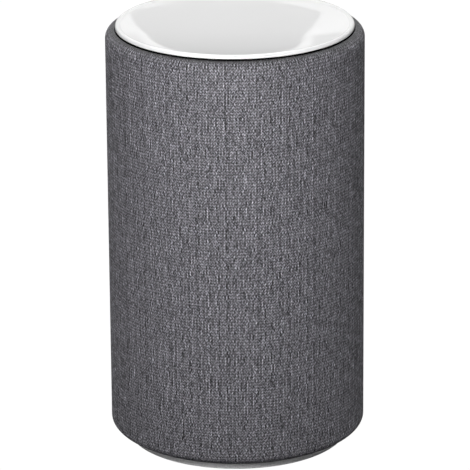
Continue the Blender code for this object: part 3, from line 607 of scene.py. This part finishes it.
def suspension(name, node, pts, inner, outer, mat):
    """A ring that joins the woofer's moving cone to its basket: it follows the cone inside radius inner, and the basket outside radius outer (mm)."""
    o = turned_mesh(name, pts, 96)
    bm = bmesh.new()
    bm.from_mesh(o.data)
    bmesh.ops.recalc_face_normals(bm, faces=bm.faces)
    bm.to_mesh(o.data)
    bm.free()
    o.data.materials.append(mat)
    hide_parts(node)
    # the bend is radial, so it is set while each point lies at its own radius along X
    rest = [v.co.copy() for v in o.data.vertices]
    for v, c in zip(o.data.vertices, rest):
        v.co = (math.hypot(c.x, c.y), 0, c.z)
    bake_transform(o, "chassis", "woofer_diaphragm", start=(outer * MM, 0, 0), end=(inner * MM, 0, 0))
    for v, c in zip(o.data.vertices, rest):
        v.co = c
    o.data.update()
    return o


def wavy(knots, lift, steps=6):
    out = []
    for (r0, z0), (r1, z1) in zip(knots, knots[1:]):
        for i in range(steps):
            t = i / steps
            out.append((r0 + (r1 - r0) * t, z0 + (z1 - z0) * t * t * (3 - 2 * t) + lift))
    return out + [(knots[-1][0], knots[-1][1] + lift)]


roll_out = arc(24.1, 39.9, 2.5, 2.5, 0, -180, 26)[1:-1]
roll_in = arc(24.1, 39.9, 2.0, 2.0, -180, 0, 26)[1:-1]
suspension("surround_roll", "woofer_surround", [(26.3, 40.1), (28.8, 40.1), (28.8, 39.6), (26.6, 39.6)] + roll_out + [(21.5, 40.1), (20.4, 40.35), (20.4, 40.85), (21.9, 40.7)] + roll_in,
           21.9, 26.3, M_RUBBER)
knots = [(17.6, 51.5), (15.8, 52.9), (14.0, 52.7), (12.2, 54.2), (10.05, 54.4)]
suspension("spider_disc", "woofer_spider", [(19.6, 52.1), (21.8, 52.1), (21.8, 51.7), (19.6, 51.7)] + wavy(knots, 0.0) + wavy(knots, 0.45)[::-1],
           10.6, 13.4, INNER["cotton"])
for sub in frame["record"]["subparts"]:
    o = NODES[sub["node"]]
    if o.hide_render:
        continue
    mat = INNER[sub["material_slot"]]
    if not o.material_slots:
        o.data.materials.append(mat)
    for s in o.material_slots:
        s.material = mat

# ---- floor, world, lights --------------------------------------------------------------------
bpy.ops.mesh.primitive_plane_add(size=8, location=(0, 0, 0))
floor = bpy.context.object
floor.name = "floor"
fm = bpy.data.materials.new("floor_white")
fm.use_nodes = True
g = Graph(fm.node_tree)
lp = g.node("ShaderNodeLightPath")
em = g.node("ShaderNodeEmission")
em.inputs["Strength"].default_value = 1.02
df = g.node("ShaderNodeBsdfDiffuse")
df.inputs["Color"].default_value = (0.15, 0.15, 0.15, 1)
mx = g.node("ShaderNodeMixShader")
g.put(mx.inputs[0], lp.outputs["Is Camera Ray"])
g.put(mx.inputs[1], df.outputs[0])
g.put(mx.inputs[2], em.outputs[0])
# seen from underneath the floor isn't there, and it lets the small light under the base through, so the base can be looked at
back = g.node("ShaderNodeMixShader")
g.put(back.inputs[0], g.m("MAXIMUM", g.node("ShaderNodeNewGeometry").outputs["Backfacing"], lp.outputs["Is Shadow Ray"]))
g.put(back.inputs[1], mx.outputs[0])
g.put(back.inputs[2], g.node("ShaderNodeBsdfTransparent").outputs[0])
g.put(g.node("ShaderNodeOutputMaterial").inputs[0], back.outputs[0])
floor.data.materials.append(fm)

world = bpy.data.worlds.new("studio")
scene.world = world
world.use_nodes = True
g = Graph(world.node_tree)
tc = g.node("ShaderNodeTexCoord")
dx, dy, dz = g.xyz(tc.outputs["Generated"])
az = g.m("MULTIPLY", g.m("ARCTAN2", dx, dy), 180 / PI)
el = g.m("MULTIPLY", g.m("ARCSINE", dz), 180 / PI)
# two tall panels behind the object with a dark gap between them that narrows to the horizon, under a broad overhead panel
SLOT_MAX, SLOT_TOP = 2.82, 27.4
az_c = g.m("MULTIPLY_ADD", g.m("MINIMUM", el, 17.0), -0.0188, g.m("ADD", az, 0.045))
az_off = g.m("ABSOLUTE", az_c)
half = g.m("MINIMUM", g.m("MAXIMUM", g.m("MULTIPLY", el, 0.1125), g.m("MULTIPLY_ADD", el, 0.16, -0.6)), SLOT_MAX)
beside = g.ramp(g.m("SUBTRACT", az_off, half), -0.03, 0.03)
above = g.ramp(g.m("ADD", el, g.m("MULTIPLY", g.m("POWER", g.m("DIVIDE", az_off, SLOT_MAX), 4.0), 5.0)), SLOT_TOP - 0.3, SLOT_TOP + 0.3)
panel = g.m("MAXIMUM", beside, above)
panel = g.m("MULTIPLY", panel, g.ramp(el, -3.0, -1.0))
panel = g.m("MULTIPLY", panel, g.ramp(az_off, 105.0, 75.0))
level = g.m("MAXIMUM", g.ramp(el, 3.0, 27.0, 0.2, 0.75, smooth=False), g.ramp(el, 27.0, 60.0, 0.75, 1.5, smooth=False))
# the foot of each panel is dimmer just beside the gap
d = g.m("SUBTRACT", az_off, half)
leaf = g.m("MULTIPLY", g.m("MULTIPLY", g.ramp(d, 0.1, 0.18), g.ramp(d, 1.0, 0.6)), g.m("MULTIPLY", g.ramp(el, 1.0, 3.0), g.ramp(el, 12.5, 10.5)))
level = g.m("MULTIPLY", level, g.m("MULTIPLY_ADD", leaf, -0.6, 1.0))
total = g.m("MULTIPLY", g.m("MULTIPLY", panel, level), g.ramp(el, 78.0, 66.0))
total = g.m("MAXIMUM", total, g.ramp(az_off, 90.0, 110.0, 0.0, 0.02))
bg = g.node("ShaderNodeBackground")
g.put(bg.inputs["Color"], g.grey(total))
g.put(g.node("ShaderNodeOutputWorld").inputs[0], bg.outputs[0])


def area(name, loc, look, size, power, size_y=None, spread=180):
    d = bpy.data.lights.new(name, "AREA")
    d.shape = "RECTANGLE"
    d.size = size
    d.size_y = size_y or size
    d.energy = power
    d.spread = math.radians(spread)
    o = bpy.data.objects.new(name, d)
    o.location = loc
    o.rotation_euler = (Vector(look) - Vector(loc)).to_track_quat("-Z", "Y").to_euler()
    scene.collection.objects.link(o)
    return o


def aimed(name, az_deg, el_deg, dist, size, power, at_z):
    """A softbox at azimuth az_deg (0 = from the camera's side, + to its right) and elevation el_deg about a point on the axis."""
    a, e = math.radians(az_deg), math.radians(el_deg)
    d = Vector((math.sin(a) * math.cos(e), -math.cos(a) * math.cos(e), math.sin(e)))
    o = area(name, Vector((0, 0, at_z)) + d * dist, (0, 0, at_z), size, power)
    o.visible_camera = False
    return o


aimed("key", -5, 20, 0.38, 0.10, 1.26, 0.125)
aimed("low_fill", -9, 8, 0.42, 0.12, 0.23, 0.11)
aimed("left_fill", -52, 14, 1.4, 0.5, 0.7, 0.075)
aimed("right_fill", 70, 14, 1.4, 0.5, 0.3, 0.075)
aimed("back_fill", 180, 50, 1.4, 0.5, 5.8, 0.148)
under = area("under_fill", (0, 0, -0.03), (0, 0, 0), 0.066, 0.018, spread=12)
under.data.shape = "DISK"
under.visible_camera = False
aimed("bowl_fill", 180, 16, 1.4, 0.5, 13.0, 0.148).visible_glossy = False

# ---- done ----------------------------------------------------------------------------------
bpy.context.view_layer.update()
